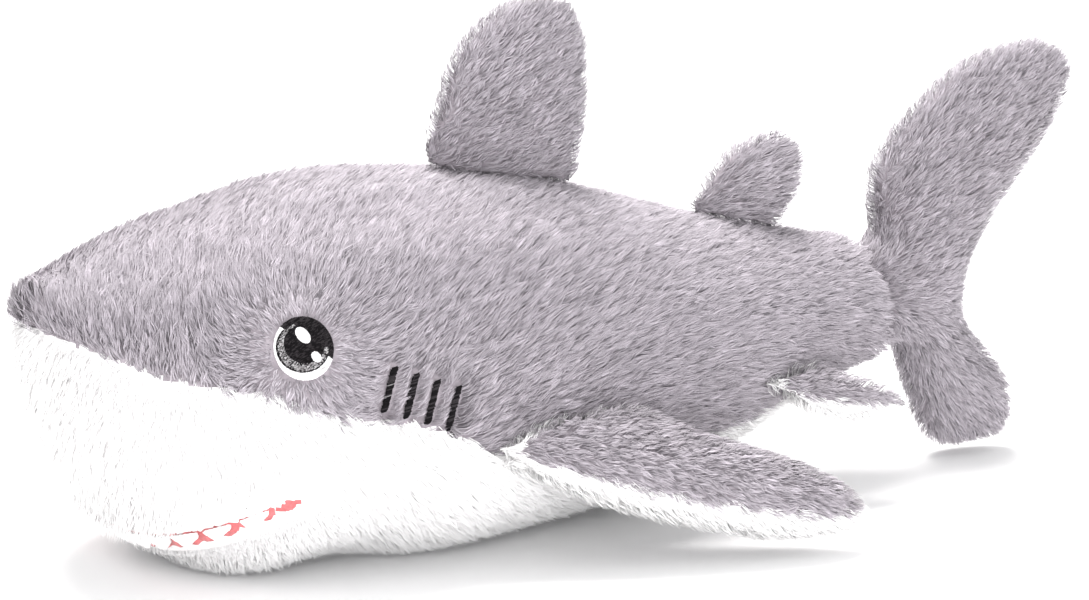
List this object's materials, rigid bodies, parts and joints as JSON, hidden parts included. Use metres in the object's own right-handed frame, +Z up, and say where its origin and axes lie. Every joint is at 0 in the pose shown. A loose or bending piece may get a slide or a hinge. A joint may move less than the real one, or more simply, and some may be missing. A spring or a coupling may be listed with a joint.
{
  "type": "plush shark",
  "caption": "Stuffed long-pile plush shark lying on its belly, with embroidered eyes and gills, felt teeth, a padded jaw and soft fins that bend at their sewn roots.",
  "frame": {"origin": "centre of the bounding box, on the surface that the belly rests on", "axes": "+Z up, -Y towards the nose, +X towards the shark's left"},
  "size_m": [0.181, 0.3522, 0.1553],
  "materials": {
    "grey_fur": "long-pile faux fur, grey",
    "white_fur": "long-pile faux fur, white",
    "stuffing": "polyester fibre fill",
    "lining": "short-pile salmon red velour",
    "felt": "white felt",
    "black_thread": "black satin-stitch embroidery",
    "grey_thread": "grey thread",
    "white_thread": "white satin-stitch embroidery",
    "label": "blank woven satin label"
  },
  "bodies": {
    "torso": {"back_panel_left": "grey_fur", "back_panel_right": "grey_fur", "belly_panel": "white_fur", "jaw_panel": "white_fur", "mouth_lining": "lining", "upper_teeth": "felt", "body_stuffing": "stuffing", "jaw_stuffing": "stuffing", "care_label": "label", "eye_outline_left": "black_thread", "eye_outline_right": "black_thread", "eye_white_left": "white_thread", "eye_white_right": "white_thread", "eye_iris_left": "grey_thread", "eye_iris_right": "grey_thread", "eye_pupil_left": "black_thread", "eye_pupil_right": "black_thread", "eye_glints_left": "white_thread", "eye_glints_right": "white_thread", "gill_stitches_left": "black_thread", "gill_stitches_right": "black_thread", "dorsal_fin_seam_thread": "grey_thread", "rear_dorsal_fin_seam_thread": "grey_thread", "pectoral_fin_seam_thread_left": "grey_thread", "pectoral_fin_seam_thread_right": "grey_thread", "pelvic_fin_seam_thread_left": "grey_thread", "pelvic_fin_seam_thread_right": "grey_thread", "tail_fin_seam_thread": "grey_thread"},
    "dorsal_fin": {"dorsal_fin_panel_left": "grey_fur", "dorsal_fin_panel_right": "grey_fur", "dorsal_fin_stuffing": "stuffing"},
    "rear_dorsal_fin": {"rear_dorsal_fin_panel_left": "grey_fur", "rear_dorsal_fin_panel_right": "grey_fur", "rear_dorsal_fin_stuffing": "stuffing"},
    "pectoral_fin_left": {"pectoral_fin_underside_left": "white_fur", "pectoral_fin_top_left": "grey_fur", "pectoral_fin_stuffing_left": "stuffing"},
    "pectoral_fin_right": {"pectoral_fin_underside_right": "white_fur", "pectoral_fin_top_right": "grey_fur", "pectoral_fin_stuffing_right": "stuffing"},
    "pelvic_fin_left": {"pelvic_fin_underside_left": "white_fur", "pelvic_fin_top_left": "grey_fur", "pelvic_fin_stuffing_left": "stuffing"},
    "pelvic_fin_right": {"pelvic_fin_underside_right": "white_fur", "pelvic_fin_top_right": "grey_fur", "pelvic_fin_stuffing_right": "stuffing"},
    "tail_fin": {"tail_fin_panel_left": "grey_fur", "tail_fin_panel_right": "grey_fur", "tail_fin_stuffing": "stuffing"}
  },
  "joints": [
    {"name": "dorsal_fin_flex", "type": "hinge", "parent": "torso", "child": "dorsal_fin", "pos_m": [0.00001, -0.02638, 0.10437], "axis": [0, 0.9855, -0.1697], "range_deg": [-25, 25], "stiffness_Nm_per_rad": 0.08},
    {"name": "rear_dorsal_fin_flex", "type": "hinge", "parent": "torso", "child": "rear_dorsal_fin", "pos_m": [0.00001, 0.05406, 0.08397], "axis": [0, 0.9752, -0.2215], "range_deg": [-25, 25], "stiffness_Nm_per_rad": 0.04},
    {"name": "tail_fin_swing", "type": "hinge", "parent": "torso", "child": "tail_fin", "pos_m": [0, 0.10238, 0.05403], "axis": [0, -0.2385, 0.9711], "range_deg": [-30, 30], "stiffness_Nm_per_rad": 0.2},
    {"name": "pectoral_fin_lift_left", "type": "hinge", "parent": "torso", "child": "pectoral_fin_left", "pos_m": [0.05508, -0.03284, 0.0336], "axis": [0.2026, -0.9793, 0], "range_deg": [-15, 60], "stiffness_Nm_per_rad": 0.12},
    {"name": "pectoral_fin_lift_right", "type": "hinge", "parent": "torso", "child": "pectoral_fin_right", "pos_m": [-0.05508, -0.03284, 0.0336], "axis": [0.2026, 0.9793, 0], "range_deg": [-15, 60], "stiffness_Nm_per_rad": 0.12},
    {"name": "pelvic_fin_lift_left", "type": "hinge", "parent": "torso", "child": "pelvic_fin_left", "pos_m": [0.03108, 0.05653, 0.0363], "axis": [0.395, -0.9187, 0], "range_deg": [-15, 30], "stiffness_Nm_per_rad": 0.04},
    {"name": "pelvic_fin_lift_right", "type": "hinge", "parent": "torso", "child": "pelvic_fin_right", "pos_m": [-0.03108, 0.05653, 0.0363], "axis": [0.395, 0.9187, 0], "range_deg": [-15, 30], "stiffness_Nm_per_rad": 0.04}
  ]
}
